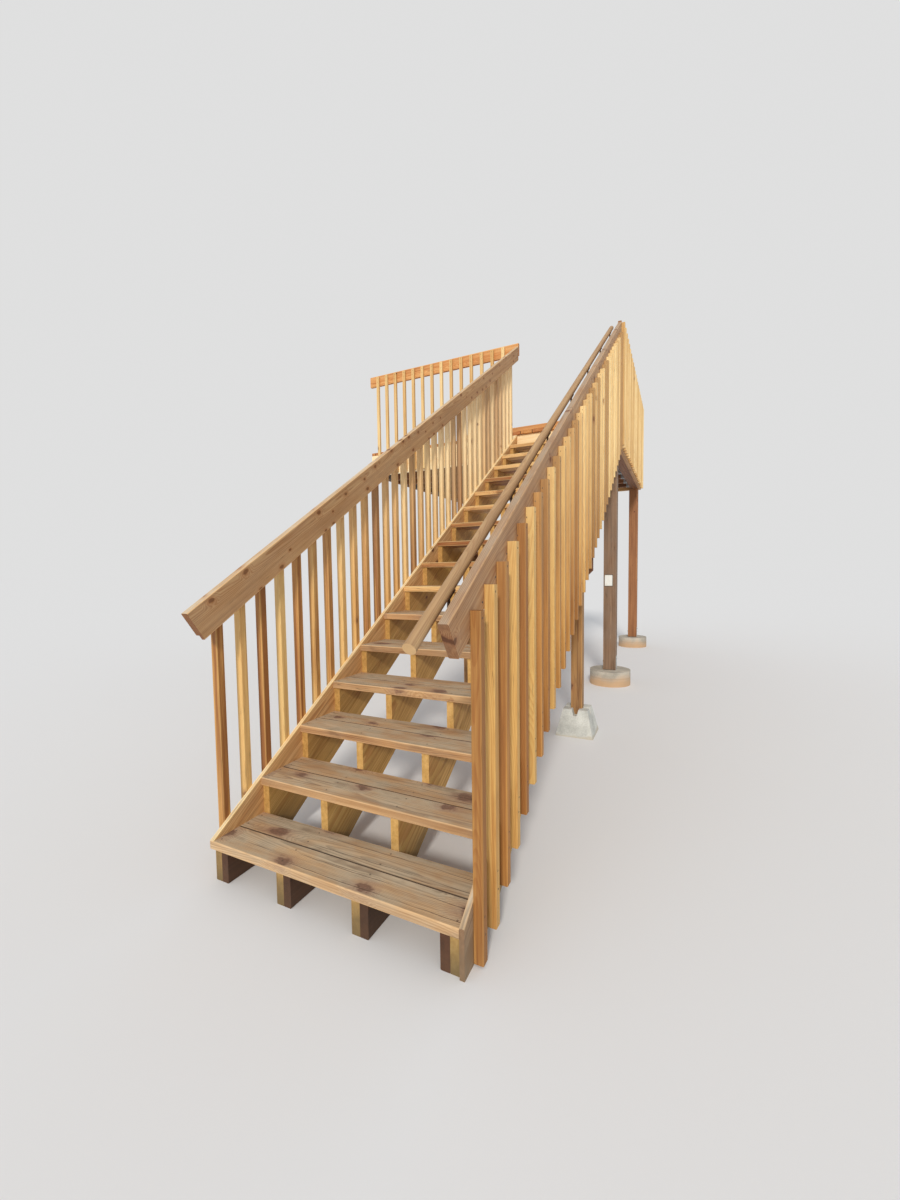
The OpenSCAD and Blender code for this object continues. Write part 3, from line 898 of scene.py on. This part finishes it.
def tread_screws():
    """Two screws through every tread board at every stringer."""
    bm = bmesh.new()
    for i in range(1, TREADS + 1):
        for start in (0.0, BOARD_W + TREAD_GAP):
            for x in STRINGER_X:
                for inset in (32.0, 108.0):
                    y = (i - 1) * RUN + start + inset + jitter()
                    put_head(bm, WOOD_SCREW, at(x + BOARD_T / 2 + jitter(), y, i * RISE), (0, 0, 1))
    add_piece("tread_screws", bm, dark_steel)


def deck_screws():
    """Two screws a board at the rims and at every joist, clear of the wall."""
    bm = bmesh.new()
    wall_clear = WALL[0] + 12
    lines = [RIM_Y + JOIST_STEP * k + BOARD_T / 2 for k in range(JOISTS + 1)]
    lines.append(BACK_Y - BOARD_T / 2)
    for n in range(DECK_BOARDS):
        low = SKIRT_OUT - n * DECK_PITCH - BOARD_W
        for y in lines:
            for inset in (28.0, 112.0):
                if low + inset > wall_clear:
                    x = low + inset + jitter()
                    put_head(bm, WOOD_SCREW, at(x, y + jitter(), DECK_Z), (0, 0, 1))
    add_piece("deck_screws", bm, dark_steel)


def baluster_screws():
    """Two screws into the rail and two into the skirt or rim behind every baluster."""
    bm = bmesh.new()
    off_mark = 5
    on_rail, on_skirt = (22, -26), (52, 118)
    for k in range(FLIGHT_COUNT):
        y = FLIGHT_LOW + FLIGHT_PITCH * k + BALUSTER / 2
        rail_mid = RISE + SLOPE * y + GUARD_H - RAIL_HALF
        heights = [rail_mid + up for up in on_rail] + [SLOPE * y + up for up in on_skirt]
        for x, way in ((SKIRT_OUT + BALUSTER, 1), (-SKIRT_T - BALUSTER, -1)):
            for z in heights:
                place = at(x, y + jitter(off_mark), z + jitter(off_mark))
                put_head(bm, WOOD_SCREW, place, (way, 0, 0))
    for z in (GUARD_TOP - 50, GUARD_TOP - 105, DECK_Z - 110, DECK_Z - 230):
        for row in GUARD_ROWS:
            for k in range(row.count):
                along = row.low + row.pitch * k + BALUSTER / 2 + jitter(off_mark)
                height = z + jitter(off_mark)
                if row.axis == "x":
                    put_head(bm, WOOD_SCREW, at(along, row.face, height), (0, row.way, 0))
                else:
                    put_head(bm, WOOD_SCREW, at(row.face, along, height), (row.way, 0, 0))
    add_piece("baluster_screws", bm, dark_steel)


def joist_hangers():
    """A seat and two nailed flanges at both ends of every joist."""
    bm = bmesh.new()
    sheet, depth, height, flange, flange_foot = 2.0, 50.0, 178.0, 34.0, 4.0
    nail_reach, nail_heights = 30.0, (40.0, 95.0, 150.0)
    for k in range(1, JOISTS + 1):
        y0 = RIM_Y + JOIST_STEP * k
        y1 = y0 + BOARD_T
        for x, way in ((WALL[0] + BOARD_T, 1), (PLIES_LOW, -1)):
            xa, xb = sorted((x, x + way * depth))
            fa, fb = sorted((x, x + way * sheet))
            add_box(bm, at(xa, y0 - sheet, FRAME_LOW - sheet), at(xb, y1 + sheet, FRAME_LOW))
            for face, side in ((y0, -1), (y1, 1)):
                ya, yb = sorted((face, face + side * sheet))
                yc, yd = sorted((face, face + side * flange))
                add_box(bm, at(xa, ya, FRAME_LOW - sheet), at(xb, yb, FRAME_LOW + height))
                add_box(bm, at(fa, yc, FRAME_LOW + flange_foot), at(fb, yd, FRAME_LOW + height))
                flange_mid = face + side * (flange + sheet) / 2
                for up in nail_heights:
                    z = FRAME_LOW + up
                    put_head(bm, NAIL, at(x + way * sheet, flange_mid, z), (way, 0, 0))
                    put_head(bm, NAIL, at(x + way * nail_reach, face + side * sheet, z), (0, side, 0))
    add_piece("joist_hangers", bm, zinc)


def angle_brackets():
    """Folded angles from the stringers' tops to the rim, on the faces that a skirt leaves free."""
    bm = bmesh.new()
    side_leg, rim_leg, side_sheet, rim_sheet = 48, 38, 2, 2.5
    top = TREADS * RISE - BOARD_T
    low, high = top - 44, top - 6
    for x in STRINGER_X:
        for face, side in ((x, -1), (x + BOARD_T, 1)):
            behind_skirt = (x == STRINGER_X[0] and side < 0) or (x == STRINGER_X[-1] and side > 0)
            if behind_skirt:
                continue
            xa, xb = sorted((face, face + side * side_sheet))
            xc, xd = sorted((face, face + side * rim_leg))
            add_box(bm, at(xa, RIM_Y - side_leg, low), at(xb, RIM_Y, high))
            add_box(bm, at(xc, RIM_Y - rim_sheet, low), at(xd, RIM_Y, high))
    add_piece("angle_brackets", bm, zinc)


def base_bolts():
    """Two bolts through each strap of the post bases."""
    bm = bmesh.new()
    strap, above_footing = 3, 118
    for y in (POST_Y[0] + POST_W / 2, POST_Y[1] + POST_W / 2):
        for x, way in ((POST_X[0] - strap, -1), (POST_X[1] + strap, 1)):
            for step in (-22, 22):
                put_head(bm, BOLT, at(x, y + step, FOOTING_H + above_footing + step), (way, 0, 0))
    add_piece("base_bolts", bm, zinc)


def post_plate():
    """A bare white cover on the near post, with a dark seal behind it."""
    front = POST_Y[0]
    left, right, low, high = 1046, 1131, 1164, 1290
    bm = bmesh.new()
    add_box(bm, at(left, front - 12, low), at(right, front - 3, high), 0.003)
    add_piece("post_plate", bm, smooth_plastic("white_cover", (232, 232, 226)))
    bm = bmesh.new()
    add_box(bm, at(left - 4, front - 4, low - 5), at(right + 4, front, high + 5), 0.0015)
    add_piece("plate_seal", bm, smooth_plastic("dark_seal", (70, 66, 62)))


tread_screws()
deck_screws()
baluster_screws()
joist_hangers()
angle_brackets()
base_bolts()
post_plate()


def pale(name):
    """The floor's plain finish, which the warm light turns neutral."""
    finish = Finish(name)
    sockets = finish.bsdf.inputs
    sockets["Base Color"].default_value = (0.782, 0.779, 0.785, 1)
    sockets["Roughness"].default_value = 0.95
    sockets["Specular IOR Level"].default_value = 0.0
    return finish.material


def stage():
    """A floor under the feet that runs on past the horizon."""
    reach = 300
    bm = bmesh.new()
    bmesh.ops.create_grid(bm, size=reach, matrix=Matrix.Translation((0, 0, cad_low.z)))
    floor = as_object("floor", bm, pale("floor_finish"))


def camera():
    """Stands where the photograph was taken from. Lengths are in the photo's pixels and in mm."""
    yaw, tilt, roll = (math.radians(angle) for angle in (26.07, -3.35, -0.77))
    focal_length, photo_height, sensor = 466.99, 1200, 36
    stands_at = at(1820.3, -1319.9, 1342.9)
    forward = Vector((-math.sin(yaw) * math.cos(tilt), math.cos(yaw) * math.cos(tilt), math.sin(tilt)))
    level = Vector((math.cos(yaw), math.sin(yaw), 0))
    upward = level.cross(forward)
    right = level * math.cos(roll) + upward * math.sin(roll)
    top = upward * math.cos(roll) - level * math.sin(roll)
    data = bpy.data.cameras.new("camera")
    data.sensor_width = sensor
    data.lens = sensor * focal_length / photo_height
    data.clip_end = 1000
    made = bpy.data.objects.new("camera", data)
    placing = Matrix((right, top, -forward)).transposed().to_4x4()
    placing.translation = stands_at
    made.matrix_world = placing
    bpy.context.scene.collection.objects.link(made)
    bpy.context.scene.camera = made


def sun():
    """A soft warm sun from the right and behind the camera."""
    travels = Vector((-0.22, 0.84, -0.49))
    data = bpy.data.lights.new("sun", "SUN")
    data.energy = 2.1
    data.angle = math.radians(8)
    data.color = (1.0, 0.95, 0.87)
    made = bpy.data.objects.new("sun", data)
    made.rotation_euler = travels.to_track_quat("-Z", "Y").to_euler()
    bpy.context.scene.collection.objects.link(made)


def sky():
    """A pale sky that lights the part, and a plain backdrop where the camera sees past it."""
    world = bpy.data.worlds.new("sky")
    bpy.context.scene.world = world
    graph = Graph(world)
    lighting = graph.tree.nodes["Background"]
    lighting.inputs["Color"].default_value = (0.94, 0.97, 1.0, 1)
    lighting.inputs["Strength"].default_value = 0.66
    backdrop = graph.node("Background", inputs={"Color": (0.742, 0.7425, 0.742, 1)})
    seen, mirrored, through = (graph.node("LightPath", out=f"Is {kind} Ray")
                               for kind in ("Camera", "Glossy", "Transmission"))
    share = graph.math("MAXIMUM", graph.math("MAXIMUM", seen, mirrored), through)
    lit = Value(graph, lighting.outputs[0])
    shown = graph.node("MixShader", inputs={0: share, 1: lit, 2: backdrop})
    graph.put(graph.tree.nodes["World Output"].inputs[0], shown)
    bpy.context.scene.view_settings.view_transform = "Standard"


stage()
camera()
sun()
sky()
